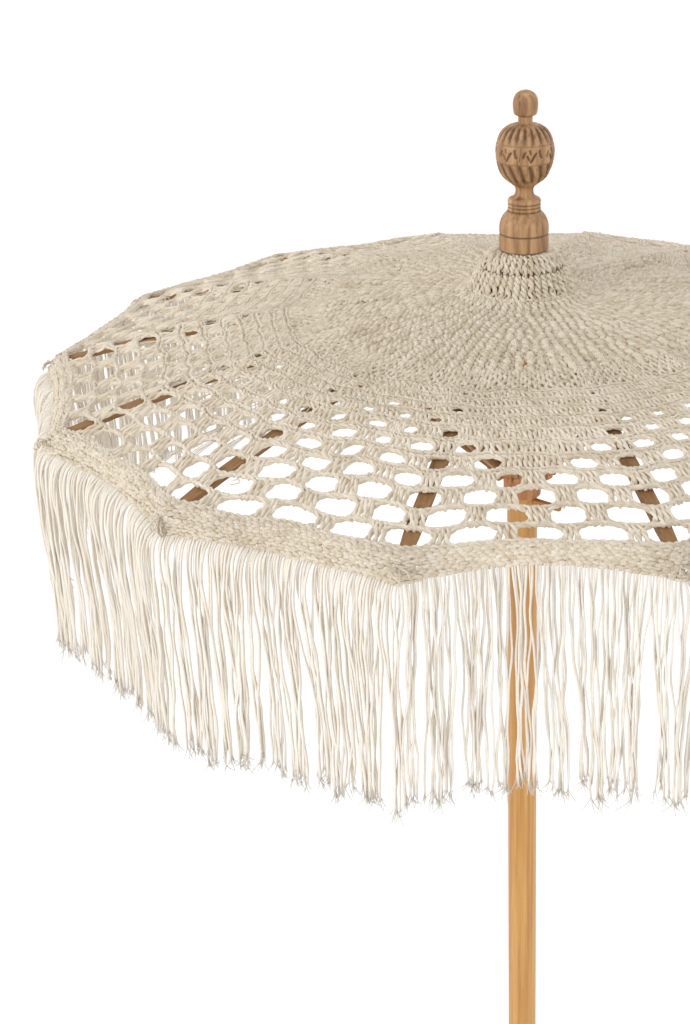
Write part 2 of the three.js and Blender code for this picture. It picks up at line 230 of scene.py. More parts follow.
class Yarns:
    """Collects tubes along points, with a surface normal at each, into one mesh."""
    def __init__(self):
        self.v, self.q, self.caps, self.uv, self.tint, self.n = [], [], [], [], [], 0
        self.area = 0.0
    def add(self, P, Nn, rad, sides=5, tint=None, flat=1.0, v0=None):
        """P (M,K,3) points, Nn (M,K,3) normals, rad scalar, (M,1) or (M,K); flat squeezes along the normal."""
        P = np.asarray(P, float)
        M, K, _ = P.shape
        if not M: return
        T = np.gradient(P, axis=1)
        T /= np.linalg.norm(T, axis=2, keepdims=True) + 1e-12
        B = np.cross(T, Nn)
        B /= np.linalg.norm(B, axis=2, keepdims=True) + 1e-12
        U = np.cross(B, T)
        rad = np.broadcast_to(np.asarray(rad, float), (M, K))
        a = 2 * np.pi * np.arange(sides) / sides + np.pi / sides
        ring = P[:, :, None, :] + rad[:, :, None, None] * (np.cos(a)[:, None] * B[:, :, None, :] + flat * np.sin(a)[:, None] * U[:, :, None, :])
        V = ring.reshape(-1, 3)
        base = self.n + (np.arange(M) * K * sides)[:, None, None] + (np.arange(K - 1) * sides)[None, :, None]
        j = np.arange(sides)[None, None, :]
        j2 = (j + 1) % sides
        quads = np.stack([base + j, base + j2, base + sides + j2, base + sides + j], -1).reshape(-1, 4)
        length = np.concatenate([np.zeros((M, 1)), np.cumsum(np.linalg.norm(np.diff(P, axis=1), axis=2), axis=1)], 1)
        start = rng.random((M, 1)) * 0.05 if v0 is None else v0
        L = length + start
        u0 = np.broadcast_to(j / sides, (M, K - 1, sides)); u1 = np.broadcast_to((j + 1) / sides, (M, K - 1, sides))
        l0 = np.broadcast_to(L[:, :-1, None], u0.shape); l1 = np.broadcast_to(L[:, 1:, None], u0.shape)
        uvs = np.stack([np.stack([u0, l0], -1), np.stack([u1, l0], -1), np.stack([u1, l1], -1), np.stack([u0, l1], -1)], -2).reshape(-1, 2)
        first = self.n + (np.arange(M) * K * sides)[:, None] + np.arange(sides)[None, ::-1]
        last = self.n + (np.arange(M) * K * sides)[:, None] + (K - 1) * sides + np.arange(sides)[None, :]
        self.v.append(V); self.q.append(quads); self.uv.append(uvs)
        self.caps.append((sides, np.concatenate([first, last])))
        t = rng.random(M) if tint is None else np.broadcast_to(tint, (M,))
        self.tint.append(np.repeat(t, K * sides))
        self.area += float((rad[:, :-1] * 2 * np.pi * np.diff(length, axis=1)).sum() * (1 + flat) / 2)
        self.n += len(V)
    def mesh(self, name, material):
        V = np.concatenate(self.v); Q = np.concatenate(self.q); UV = np.concatenate(self.uv)
        cap_idx = [c.reshape(-1) for _, c in self.caps]
        sizes = np.concatenate([np.full(len(Q), 4)] + [np.full(len(c), s) for s, c in self.caps])
        loops = np.concatenate([Q.reshape(-1)] + cap_idx)
        me = bpy.data.meshes.new(name)
        me.vertices.add(len(V)); me.vertices.foreach_set("co", V.astype(np.float32).reshape(-1))
        me.loops.add(len(loops)); me.loops.foreach_set("vertex_index", loops.astype(np.int32))
        me.polygons.add(len(sizes))
        me.polygons.foreach_set("loop_start", np.concatenate([[0], np.cumsum(sizes)[:-1]]).astype(np.int32))
        me.polygons.foreach_set("use_smooth", np.ones(len(sizes), bool))
        uv = me.uv_layers.new(name="yarn")
        full = np.zeros((len(loops), 2), np.float32)
        full[: len(UV)] = UV
        uv.uv.foreach_set("vector", full.reshape(-1))
        at = me.attributes.new("tint", "FLOAT", "POINT")
        at.data.foreach_set("value", np.concatenate(self.tint).astype(np.float32))
        me.update(calc_edges=True)
        me.materials.append(material)
        o = bpy.data.objects.new(name, me)
        return link(o)

def grid_object(name, V, rows, cols, wrap, material, cap=True):
    """A closed surface from rows of points; each row a ring."""
    me = bpy.data.meshes.new(name)
    faces = []
    for i in range(rows - 1):
        for j in range(cols if wrap else cols - 1):
            k = (j + 1) % cols
            faces.append((i * cols + j, i * cols + k, (i + 1) * cols + k, (i + 1) * cols + j))
    if cap:
        faces.append(tuple(reversed(range(cols))))
        faces.append(tuple((rows - 1) * cols + j for j in range(cols)))
    me.from_pydata([tuple(p) for p in V], [], faces)
    me.polygons.foreach_set("use_smooth", [True] * len(me.polygons))
    me.update()
    me.materials.append(material)
    return link(bpy.data.objects.new(name, me))

def turned(name, profile, material, sides=96, shape=None, step=0.0012):
    """A lathe piece: profile of (radius, z) walked at fine steps; shape(theta, z, r) may carve it."""
    pts = np.array(profile, float)
    out = [pts[0]]
    for a, b in zip(pts[:-1], pts[1:]):
        k = max(1, int(np.linalg.norm(b - a) / step))
        for t in range(1, k + 1):
            out.append(a + (b - a) * t / k)
    pts = np.array(out)
    th = 2 * np.pi * np.arange(sides) / sides
    rr = np.repeat(pts[:, 0][:, None], sides, 1)
    zz = np.repeat(pts[:, 1][:, None], sides, 1)
    if shape is not None:
        rr = shape(np.broadcast_to(th, rr.shape), zz, rr)
    rr = np.maximum(rr, 1e-4)
    V = np.stack([rr * np.cos(th), rr * np.sin(th), zz], -1).reshape(-1, 3)
    return grid_object(name, V, len(pts), sides, True, material)

def bevelled(o, width, angle=30, segments=2):
    m = o.modifiers.new("edge", "BEVEL")
    m.width, m.segments, m.limit_method, m.angle_limit = width, segments, "ANGLE", math.radians(angle)
    m.harden_normals = False
    return o

def cut(o, cutters):
    for c in cutters:
        m = o.modifiers.new("cut", "BOOLEAN")
        m.object, m.operation, m.solver = c, "DIFFERENCE", "EXACT"
    return o

def settle(o, smooth_angle=35):
    """Applies an object's modifiers and sets its shading."""
    dg = bpy.context.evaluated_depsgraph_get()
    me = bpy.data.meshes.new_from_object(o.evaluated_get(dg))
    o.modifiers.clear()
    old = o.data
    o.data = me
    me.name = o.name
    bpy.data.meshes.remove(old)
    me.polygons.foreach_set("use_smooth", [True] * len(me.polygons))
    me.set_sharp_from_angle(angle=math.radians(smooth_angle))
    return o

def slab(name, x0, x1, y0, y1, z0, z1, az=0.0):
    me = bpy.data.meshes.new(name)
    c, s = math.cos(az), math.sin(az)
    pts = [(x, y, z) for z in (z0, z1) for y in (y0, y1) for x in (x0, x1)]
    me.from_pydata([(x * c - y * s, x * s + y * c, z) for x, y, z in pts], [],
                   [(0, 2, 3, 1), (4, 5, 7, 6), (0, 1, 5, 4), (2, 6, 7, 3), (0, 4, 6, 2), (1, 3, 7, 5)])
    me.update()
    return link(bpy.data.objects.new(name, me))

def rod(name, a, b, r, sides=32, material=None, r2=None):
    a, b = np.array(a, float), np.array(b, float)
    d = (b - a) / np.linalg.norm(b - a)
    u = np.cross(d, [0, 0, 1.0]) if abs(d[2]) < 0.9 else np.cross(d, [1.0, 0, 0])
    u /= np.linalg.norm(u); w = np.cross(d, u)
    th = 2 * np.pi * np.arange(sides) / sides
    V = []
    for p, rad in ((a, r), (b, r2 or r)):
        V += [p + rad * (math.cos(t) * u + math.sin(t) * w) for t in th]
    o = grid_object(name, V, 2, sides, True, material or TURNED_WOOD)
    return o

def drop(*objs):
    for o in objs:
        me = o.data
        bpy.data.objects.remove(o)
        if me.users == 0: bpy.data.meshes.remove(me)

# ---- camera and light ---------------------------------------------------------------
cam_data = bpy.data.cameras.new("camera")
cam = link(bpy.data.objects.new("camera", cam_data))
cam.location = (0.0, -2.5656, 2.760)
cam.rotation_euler = (math.radians(90 - 17.84), 0, 0)
cam_data.lens, cam_data.sensor_width, cam_data.sensor_fit = 56.43, 36.0, "AUTO"
cam_data.shift_x, cam_data.shift_y = -0.173, -0.200
cam_data.clip_end = 60
bpy.context.scene.camera = cam

def area_light(name, loc, target, size, energy, color=(1, 1, 1)):
    d = bpy.data.lights.new(name, "AREA")
    d.shape, d.size, d.energy, d.color = "DISK", size, energy, color
    o = link(bpy.data.objects.new(name, d))
    o.location = loc
    o.rotation_euler = (Vector(target) - Vector(loc)).to_track_quat("-Z", "Y").to_euler()
    return o

area_light("key", (-3.4, -2.6, 3.6), (0, 0, 1.9), 2.4, 62)
area_light("fill", (3.6, -2.4, 3.2), (0, 0, 1.6), 3.0, 10)
area_light("back", (1.0, 4.0, 4.2), (0, 0, 1.8), 3.0, 16)
world = bpy.data.worlds.new("studio")
bpy.context.scene.world = world
world.use_nodes = True
bg = world.node_tree.nodes["Background"]
bg.inputs["Color"].default_value = (1.0, 1.0, 1.0, 1)
wn = world.node_tree
ray = wn.nodes.new("ShaderNodeTexCoord")
split = wn.nodes.new("ShaderNodeSeparateXYZ")
side = wn.nodes.new("ShaderNodeMapRange")
side.interpolation_type = "SMOOTHSTEP"
for sock, val in (("From Min", 0.0), ("From Max", 0.95), ("To Min", 1.14), ("To Max", 0.70)):
    side.inputs[sock].default_value = val
wn.links.new(ray.outputs["Generated"], split.inputs[0])
wn.links.new(split.outputs["Z"], side.inputs["Value"])
wn.links.new(side.outputs["Result"], bg.inputs["Strength"])
bpy.context.scene.view_settings.view_transform = "Standard"
bpy.context.scene.view_settings.look = "None"

floor_nodes = Nodes("studio_floor_look")
fv = floor_nodes.coords()
fcol = floor_nodes.ramp(floor_nodes.noise(fv, 1.5, 2), [(0.3, (0.965, 0.965, 0.965, 1)), (0.7, (0.975, 0.975, 0.975, 1))])
floor_nodes.link(fcol, floor_nodes.bsdf.inputs["Base Color"])
floor_nodes.bsdf.inputs["Roughness"].default_value = 0.9
floor_nodes.bsdf.inputs["Emission Color"].default_value = (1, 1, 1, 1)
floor_nodes.bsdf.inputs["Emission Strength"].default_value = 0.24      # an even white sweep
floor_me = bpy.data.meshes.new("studio_floor")
floor_me.from_pydata([(-30, -30, -0.0005), (30, -30, -0.0005), (30, 30, -0.0005), (-30, 30, -0.0005)], [], [(0, 1, 2, 3)])
floor_me.materials.append(floor_nodes.m)
link(bpy.data.objects.new("studio_floor", floor_me))

# ---- pole, peg, hub and runner ----------------------------------------------------------
peg_dir = np.array([math.cos(PEG_AZ), math.sin(PEG_AZ), 0.0])
pin_dir = np.array([math.cos(PIN_AZ), math.sin(PIN_AZ), 0.0])
pole = turned("pole_turned", [(0.0, 0.0), (0.0229, 0.0), (0.0249, 0.0008), (0.0260, 0.0022), (POLE_R, 0.0045), (POLE_R, POLE_TOP - 0.002), (0.0249, POLE_TOP)], POLE_WOOD, 80, step=0.06)
c1 = rod("c1", peg_dir * -0.06 + [0, 0, PEG_Z], peg_dir * 0.06 + [0, 0, PEG_Z], 0.0060, 24)
cut(pole, [c1]); settle(pole, 40); drop(c1)
pole.data.materials.clear(); pole.data.materials.append(POLE_WOOD)
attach(pole, "root"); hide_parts("pole")

peg = turned("locking_peg_whittled", [(0.0, 0.0), (0.0030, 0.0), (0.0042, 0.0012), (0.0048, 0.004), (0.0052, 0.05), (0.0056, 0.104), (0.0055, 0.110), (0.0048, 0.1122), (0.0036, 0.113), (0.0, 0.113)],
             PEG_WOOD, 28, shape=lambda th, z, r: r * (1 + 0.035 * np.cos(7 * th + 30 * z) * (r > 0.003)), step=0.003)
peg.data.transform(Matrix.Translation((*(peg_dir * -0.031)[:2], PEG_Z)) @ Matrix.Rotation(PEG_AZ, 4, "Z") @ Matrix.Rotation(math.pi / 2, 4, "Y"))
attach(peg, "peg"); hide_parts("locking_peg")

def slots(r0, w, z0, z1):
    return [slab("slot%d" % i, r0, 0.09, -w / 2, w / 2, z0, z1, az_of(i)) for i in range(N)]

runner = turned("runner_turned", [
    (0.0272, RIM - 0.247), (0.0300, RIM - 0.247), (0.0325, RIM - 0.2448), (0.0325, RIM - 0.212), (0.0335, RIM - 0.208), (0.0365, RIM - 0.205),
    (0.0575, RIM - 0.205), (0.0602, RIM - 0.2035), (0.061, RIM - 0.2005), (0.061, RIM - 0.1945), (0.0602, RIM - 0.1935), (0.0602, RIM - 0.1915), (0.061, RIM - 0.1905),
    (0.061, RIM - 0.1835), (0.0602, RIM - 0.1805), (0.0575, RIM - 0.179), (0.0272, RIM - 0.179), (0.0272, RIM - 0.247)], TURNED_WOOD, 112, step=0.004)
# an open tube profile that closes on itself: drop the caps that the grid made
import bmesh
bm = bmesh.new(); bm.from_mesh(runner.data)
bmesh.ops.delete(bm, geom=[f for f in bm.faces if len(f.verts) > 4], context="FACES_ONLY")
bmesh.ops.remove_doubles(bm, verts=bm.verts, dist=1e-6)
bmesh.ops.recalc_face_normals(bm, faces=bm.faces)
bm.to_mesh(runner.data); bm.free()
k = slots(0.038, 0.0134, RIM - 0.206, RIM - 0.17)
cut(runner, k); bevelled(runner, 0.0006, 40, 1); settle(runner, 35); drop(*k)
runner.data.materials.clear(); runner.data.materials.append(TURNED_WOOD)
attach(runner, "runner"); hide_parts("runner")

hub = turned("top_hub_turned", [
    (0.0272, RIM + 0.094), (0.0560, RIM + 0.094), (0.0595, RIM + 0.0952), (0.061, RIM + 0.099), (0.061, RIM + 0.121), (0.0595, RIM + 0.1248), (0.0560, RIM + 0.126),
    (0.0272, RIM + 0.126), (0.0272, RIM + 0.094)], TURNED_WOOD, 112, step=0.004)
bm = bmesh.new(); bm.from_mesh(hub.data)
bmesh.ops.delete(bm, geom=[f for f in bm.faces if len(f.verts) > 4], context="FACES_ONLY")
bmesh.ops.remove_doubles(bm, verts=bm.verts, dist=1e-6)
bmesh.ops.recalc_face_normals(bm, faces=bm.faces)
bm.to_mesh(hub.data); bm.free()
k = slots(0.042, 0.0124, RIM + 0.08, RIM + 0.14)
cut(hub, k); bevelled(hub, 0.0006, 40, 1); settle(hub, 35); drop(*k)
hub.data.materials.clear(); hub.data.materials.append(TURNED_WOOD)
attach(hub, "root"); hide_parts("top_hub")

steel = Nodes("wire_look")
sv = steel.coords()
steel.link(steel.ramp(steel.noise(sv, 400, 3), [(0.3, srgb(120, 120, 116)), (0.7, srgb(176, 176, 170))]), steel.bsdf.inputs["Base Color"])
steel.bsdf.inputs["Metallic"].default_value = 1.0
steel.bsdf.inputs["Roughness"].default_value = 0.42
for node, mat in (("hub_wire_ring", steel.m), ("hub_pin", PEG_WOOD)):
    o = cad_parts[node]
    o.data.materials.clear(); o.data.materials.append(mat)

# ---- finial ---------------------------------------------------------------------------
Z = lambda h: RIM + h / 1000
PROFILE = [(0, 141), (11.2, 141), (12, 142), (12, 196.8), (12, 197.2), (39.5, 197.2), (41, 198.6), (41, 222.0), (40.4, 223.2), (39.3, 224.3), (40.4, 225.4), (41, 226.6), (41, 236), (40.3, 241.5), (38.3, 248), (35.6, 253.4), (32.2, 257.6), (29.6, 260.4), (27.8, 262),
           (25.6, 262.8), (26.6, 263.8), (27.6, 265.4), (27.4, 267.2), (26, 268.4), (25.2, 269), (26.4, 270), (27.4, 271.6), (27.2, 273.2), (26, 274.2), (25.2, 274.8), (26.8, 275.8), (27.7, 278), (27.2, 281), (25.6, 283.2),
           (22.6, 284.8), (19.4, 286.2), (17, 288.4), (15.6, 291), (14.8, 294.5), (14.8, 299), (16, 302.6), (18.2, 305), (20.4, 306.4), (22, 308),
           (27, 311.4), (32, 315.4), (36.8, 320.6), (40.8, 326.8), (43.8, 334), (46.0, 342), (47.6, 350), (48.4, 358), (48.4, 366), (47.4, 374), (45.4, 382), (42.4, 389.4), (38.4, 395.6), (33.4, 400.4), (27.6, 404), (21, 406.4), (15.4, 407.6), (13, 408.4),
           (11.9, 409.6), (11.7, 412), (11.8, 419), (12.4, 420.2), (15.5, 421), (17.6, 422), (18.9, 424), (19.7, 427.5), (20.4, 433), (20.7, 438), (20.4, 444), (19.2, 449.5), (16.8, 454.2), (13.2, 457.8), (8.6, 460.4), (4, 461.7), (1.4, 461.2), (0, 462)]
def carve(th, z, r):
    h = (z - RIM) * 1000
    rad = r * 1000
    # lower third of the barrel: slanted flutes
    low = smooth(309, 318, h) * (1 - smooth(343, 347, h))
    f = 16 * (th + (h - 315) * 0.007)
    rad = rad - low * 2.9 * np.clip(np.abs(np.cos(f / 2)) ** 3.0, 0, 1) * smooth(14, 30, rad)
    # top third: upright tapering flutes
    top = smooth(377, 381, h) * (1 - smooth(400, 407, h))
    g = 20 * th
    rad = rad - top * 3.6 * np.abs(np.cos(g / 2)) ** 3.4 * (0.4 + 0.6 * smooth(378, 396, h))
    # middle band: leaf notches between two scribed lines, in V pairs
    mid = smooth(347.5, 350, h) * (1 - smooth(373, 376, h))
    k = 7
    ph = (th * k / (2 * np.pi)) % 1.0
    y = (h - 361.5) / 12.0                       # -1 .. 1
    leaf = 0
    for c0, c1, c2, w, lo, hi in ((0.62, 0.17, 0.0, 0.050, -0.85, 0.50), (0.20, 0.05, 0.10, 0.040, -0.25, 0.60), (0.36, -0.12, 0.0, 0.040, -0.60, 0.15),
                                  (0.88, -0.10, 0.06, 0.045, -0.30, 0.85), (0.50, -0.08, 0.0, 0.030, 0.25, 0.90)):
        d = (ph - (c0 + c1 * y + c2 * y * y) + 0.5) % 1.0 - 0.5
        leaf = np.maximum(leaf, np.exp(-(d / w) ** 2) * smooth(lo - 0.15, lo + 0.15, y) * (1 - smooth(hi - 0.15, hi + 0.15, y)))
    rad = rad - mid * 3.2 * leaf
    # scribed lines
    for line in (346.2, 377.2):
        rad = rad - 1.3 * np.exp(-((h - line) / 0.9) ** 2)
    # the hand-cut unevenness of the whole carving
    rad = rad + 0.16 * np.sin(3 * th + h * 0.11) * smooth(300, 320, h) * (1 - smooth(400, 408, h))
    return rad / 1000
finial = turned("finial_carved", [(r / 1000, Z(h)) for r, h in PROFILE], CARVED_WOOD, 216, shape=carve, step=0.0011)
fco = np.empty(len(finial.data.vertices) * 3, np.float32)
finial.data.vertices.foreach_get("co", fco)
fco = fco.reshape(-1, 3).astype(float)
fh = (fco[:, 2] - RIM) * 1000
hb = np.array([(h, r) for r, h in PROFILE if 307 <= h <= 408])
deep_cut = np.clip((np.interp(fh, hb[:, 0], hb[:, 1]) - np.hypot(fco[:, 0], fco[:, 1]) * 1000) / 2.6, 0, 1) * ((fh > 308) & (fh < 407))
deep_cut = np.maximum(deep_cut, np.interp(fh, [221.8, 224.3, 226.8], [0, 1, 0]) * (np.hypot(fco[:, 0], fco[:, 1]) > 0.036))
for hg in (262.6, 269.0, 274.8, 420.0):
    deep_cut = np.maximum(deep_cut, 0.8 * np.exp(-((fh - hg) / 0.9) ** 2))
ca = finial.data.attributes.new("cut", "FLOAT", "POINT")
ca.data.foreach_set("value", deep_cut.astype(np.float32))
fco[:, 0] += (0.0026 + 0.012 * np.clip(fco[:, 2] - (RIM + 0.197), 0, 1)) * (fh > 197)      # it stands a touch out of true
finial.data.vertices.foreach_set("co", fco.astype(np.float32).reshape(-1))
finial.data.update()
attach(finial, "root"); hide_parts("finial")

# ---- ribs and stretchers --------------------------------------------------------------
for i, s in enumerate(IDS):
    m = lath_wood("lath_look_" + s, az_of(i))
    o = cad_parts["rib_" + s]
    o.data.materials.clear(); o.data.materials.append(m)
    m2 = lath_wood("stretcher_look_" + s, az_of(i), -0.75)
    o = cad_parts["stretcher_" + s]
    o.data.materials.clear(); o.data.materials.append(m2)

# ---- the crocheted canopy ---------------------------------------------------------------
# The yarn lies on one curved surface. s runs outwards along it, phi counts ribs round it.
CONE = [(0.027, 0.192), (0.040, 0.1922), (0.054, 0.1905), (0.066, 0.182), (0.073, 0.168), (0.082, 0.148), (0.093, 0.134), (0.110, 0.126)]
def top_z(r):
    return rib_z(np.minimum(r, 0.780)) + 0.0125 - 0.025 * (np.clip(r - 0.780, 0, 1) / 0.020) ** 1.5
rs = np.concatenate([[c[0] for c in CONE], np.arange(0.120, 0.780, 0.01), np.arange(0.780, 0.80001, 0.001)])
zs = np.concatenate([[RIM + c[1] for c in CONE], top_z(np.concatenate([np.arange(0.120, 0.780, 0.01), np.arange(0.780, 0.80001, 0.001)]))])
d = np.concatenate([[0], np.cumsum(np.hypot(np.diff(rs), np.diff(zs)))])
S = np.arange(0, d[-1], 0.0005)
def blur(v, w=22):
    pad = np.concatenate([v[0] - (v[w:0:-1] - v[0]), v, v[-1] - (v[-2:-w - 2:-1] - v[-1])])
    k = np.hanning(2 * w + 1); k /= k.sum()
    return np.convolve(pad, k, "same")[w:-w]
PR, PZ = blur(np.interp(S, d, rs)), blur(np.interp(S, d, zs))
r_at = lambda s: np.interp(s, S, PR)
s_at = lambda r: float(np.interp(r, PR, S))
S_END = float(S[-1])
S_B = s_at(0.767)                   # the border band starts here
SINK = lambda s: 0.0042 - 0.0036 * (1 - smooth(0.0, 0.045, s))   # how far the yarn's middle lies under the canopy's top
SHORT = np.array([0.30, 0.10, 0.16, 0.12, 0.10, 0.14, 0.12, 0.16, 0.10, 0.14, 0.12, 0.15, 0.12, 0.18])
BOW = np.array([0.021, 0.004, 0.014, 0.011, 0.008, 0.010, 0.007, 0.011, 0.009, 0.012, 0.008, 0.010, 0.013, 0.009])
SAG = np.array([0.004, 0.003, 0.006, 0.008, 0.008, 0.010, 0.013, 0.012, 0.013, 0.011, 0.008, 0.006, 0.005, 0.004])
WAVES = [(rng.uniform(18, 60), int(rng.integers(9, 46)), rng.uniform(0, 6.3), rng.uniform(0, 6.3), rng.uniform(0, 6.3)) for _ in range(7)]
def surf(s, phi):
    k = np.floor(phi).astype(int); t = phi - k
    s = np.where(s > S_B, S_B + (s - S_B) * (1 - SHORT[k % N] * 4 * t * (1 - t)), s)   # the band pulls up between corners
    r, z = np.interp(s, S, PR), np.interp(s, S, PZ)
    over = np.clip(s - S_END, 0, 1)             # past the edge the surface goes on straight down
    z = z - over
    a0, a1, am = AZ0 - k * STEP, AZ0 - (k + 1) * STEP, AZ0 - phi * STEP
    w = smooth(0.09, 0.22, r)
    dx = w * ((1 - t) * np.cos(a0) + t * np.cos(a1)) + (1 - w) * np.cos(am)
    dy = w * ((1 - t) * np.sin(a0) + t * np.sin(a1)) + (1 - w) * np.sin(am)
    q = 4 * t * (1 - t)
    bow = 1 - BOW[k % N] / R * q * smooth(0.3, 0.8, r)
    z = z - SAG[k % N] * q * smooth(0.12, 0.4, r) * (1 - smooth(0.72, 0.79, r))
    return np.stack([r * bow * dx, r * bow * dy, z], -1)
def warp(s, phi):
    """Slow unevenness of hand work: (along s, round in metres, height)."""
    r = np.interp(s, S, PR)
    k = smooth(0.10, 0.40, r) * (1 - 0.6 * smooth(0.74, 0.80, r))
    out = [0, 0, 0]
    for f, m, p0, p1, p2 in WAVES:
        b = f * s
        g = phi * STEP * m
        out[0] = out[0] + np.sin(b + g + p0)
        out[1] = out[1] + np.sin(0.8 * b - g + p1)
        out[2] = out[2] + np.sin(1.1 * b + g + p2)
    return out[0] * 0.0008 * k, out[1] * 0.0010 * k, out[2] * 0.0005 * (0.4 + 0.6 * k)
def place(s, phi, h):
    ws, wx, wh = warp(s, phi)
    s = s + ws
    phi = phi + wx / (np.maximum(r_at(s), 0.05) * STEP)
    e = 4e-4
    base = surf(s, phi)
    ts = surf(s + e, phi) - surf(s - e, phi)
    tp = surf(s, phi + e) - surf(s, phi - e)
    n = np.cross(tp, ts)
    n /= np.linalg.norm(n, axis=-1, keepdims=True) + 1e-15
    return base + (h + wh - SINK(s))[..., None] * n, n

CUT_A, CUT_B = 0.063, 0.150          # cone to collar, collar to gores
cone, cone2 = Yarns(), Yarns()       # the cloth's own stitches, and the ones worked over them
collars, collars2 = [Yarns() for _ in range(N)], [Yarns() for _ in range(N)]
gores, nets = [Yarns() for _ in range(N)], [Yarns() for _ in range(N)]
LAID = {}
def emit(sc, pc, L, rad, sides=5, flat=0.85, tint=None, over=False):
    """Puts stitches on the canopy: centres sc, pc (M,), local points L (M,K,3) = (round, along, height)."""
    sc, pc = np.asarray(sc, float), np.asarray(pc, float)
    s = sc[:, None] + L[..., 1]
    phi = pc[:, None] + L[..., 0] / (np.maximum(r_at(s), 0.02) * STEP)
    P, n = place(s, phi, L[..., 2])
    rad = np.broadcast_to(np.asarray(rad, float), P.shape[:2])
    tint = rng.random(len(sc)) if tint is None else tint
    g = np.round(pc).astype(int) % N
    rc = r_at(sc)
    for lo, hi, sets in ((0, CUT_A, [cone2 if over else cone] * N), (CUT_A, CUT_B, collars2 if over else collars), (CUT_B, 9, nets if over else gores)):
        zone = (rc >= lo) & (rc < hi)
        for i in range(1 if lo == 0 else N):
            m = zone & (g == i) if lo else zone
            up = np.zeros(len(sc), bool)
            if hi < 9 and not over:              # close work: two strands in five lie on the others
                at = np.flatnonzero(m)
                up[at] = (LAID.get((lo, i), 0) + np.arange(len(at))) % 5 < 2
                LAID[(lo, i)] = LAID.get((lo, i), 0) + len(at)
            for part, y in ((m & ~up, sets[i]), (m & up, cone2 if lo == 0 else collars2[i])):
                if part.any(): y.add(P[part], n[part], rad[part], sides, tint[part], flat)

def vee(M, p, L, lift=0.0020, spread=0.25, K=6, jit=0.0005, lean=0.0, open_=False):
    """Two legs of a stitch that opens outwards; p pitch round, L length along. Returns (2M,K,3)."""
    t = np.linspace(0, 1, K)
    p, L = np.broadcast_to(p, (M,)), np.broadcast_to(L, (M,))
    out = []
    for sg in (-1, 1):
        x = sg * p[:, None] * ((0.02 + spread * t) if open_ else (0.05 + spread * np.sin(np.pi * t / 2))) + lean * (t - 0.5)
        y = L[:, None] * ((-0.72 + 1.32 * t) if open_ else (-0.60 + 1.20 * t))
        h = np.broadcast_to(lift * np.sin(np.pi * np.clip(t * 0.92 + 0.02, 0, 1)) - 0.0006, x.shape)
        pts = np.stack([x, y, h], -1) + rng.normal(0, jit, (M, 1, 3)) * [1, 1, 0.7]
        pts = pts + rng.normal(0, jit * 0.4, (M, K, 3))
        out.append(pts)
    return np.concatenate(out)
def braid(M, p, w, lift=0.0018, K=6, jit=0.0005):
    """Two legs of a link of a chain that runs round; p pitch, w width."""
    v = vee(M, w, p, lift, 0.27, K, jit)
    return v[..., [1, 0, 2]]
swell = lambda K: 0.78 + 0.22 * np.sin(np.pi * np.linspace(0, 1, K))

def row(s, n, phase, kind, p=None, L=0.010, rad=0.0025, skip=None, over=False, **kw):
    pc = (np.arange(n) + phase) * N / n
    if skip is not None: pc = pc[~skip(pc)]
    M = len(pc)
    p = p or 2 * math.pi * float(r_at(s)) / n
    pts = vee(M, p, L, **kw) if kind == "v" else braid(M, p, L, **kw)
    sc = np.full(2 * M, s); pcs = np.concatenate([pc, pc])
    emit(sc, pcs, pts, rad * swell(pts.shape[1])[None] * rng.uniform(0.94, 1.06, (2 * M, 1)), over=over)

def posts(sc, pc, xa, xb, half, rad=0.0025, turn=1.0, wind=0.0021, K=8, lift=0.0012, sides=5, over=False, low=1.0):
    """Upright stitches of two wound strands: from (xa, -half) to (xb, +half) about their centres."""
    M = len(sc)
    t = np.linspace(0, 1, K)
    ph = rng.uniform(0, 2 * np.pi, (M, 1))
    half = np.broadcast_to(half, (M,))[:, None]
    for k in (0, 1):
        a = ph + np.pi * k + 2 * np.pi * turn * t * rng.uniform(0.8, 1.2, (M, 1))
        x = xa[:, None] * (1 - t) + xb[:, None] * t + wind * np.cos(a)
        y = half * (-1.06 + 2.12 * t)
        h = low * wind * np.sin(a) + lift * np.sin(np.pi * t)
        pts = np.stack([x, y, h], -1) + rng.normal(0, 0.0003, (M, K, 3))
        emit(sc, pc, pts, rad * (0.85 + 0.15 * np.sin(np.pi * t))[None] * rng.uniform(0.92, 1.08, (M, 1)), sides, 1.0, over=over)

# -- the cone: two rows of tall stitches under the finial, then the ring line
n0 = 38
s0, s1, s2 = s_at(0.0285), s_at(0.0708), s_at(0.0925)
for (a, b, n, ph, rad, wind) in ((s0, s1 - 0.0005, n0, 0.0, 0.0028, 0.0023), (s1 + 0.0035, s2, n0 + 4, 0.5, 0.0029, 0.0027)):
    pc = (np.arange(n) + ph) * N / n
    sc = np.full(n, max((a + b) / 2, s_at(0.045)))
    lean = np.full(n, 0.0020)
    half = (b - a) / 2
    posts(sc, pc, -lean, lean, half, rad, 2.4, wind, 18, 0.0018, 5)
    posts(sc, pc + 0.5 * N / n, -lean * 0.5, lean * 0.5, half * 0.86, rad * 0.70, 1.2, wind * 0.6, 12, -0.0022, 5, over=True)
row(s_at(0.0295), 30, 0.25, "b", L=0.008, rad=0.0024, lift=0.004, over=True)
row(s2, 56, 0.0, "b", L=0.0065, rad=0.0021, over=True)

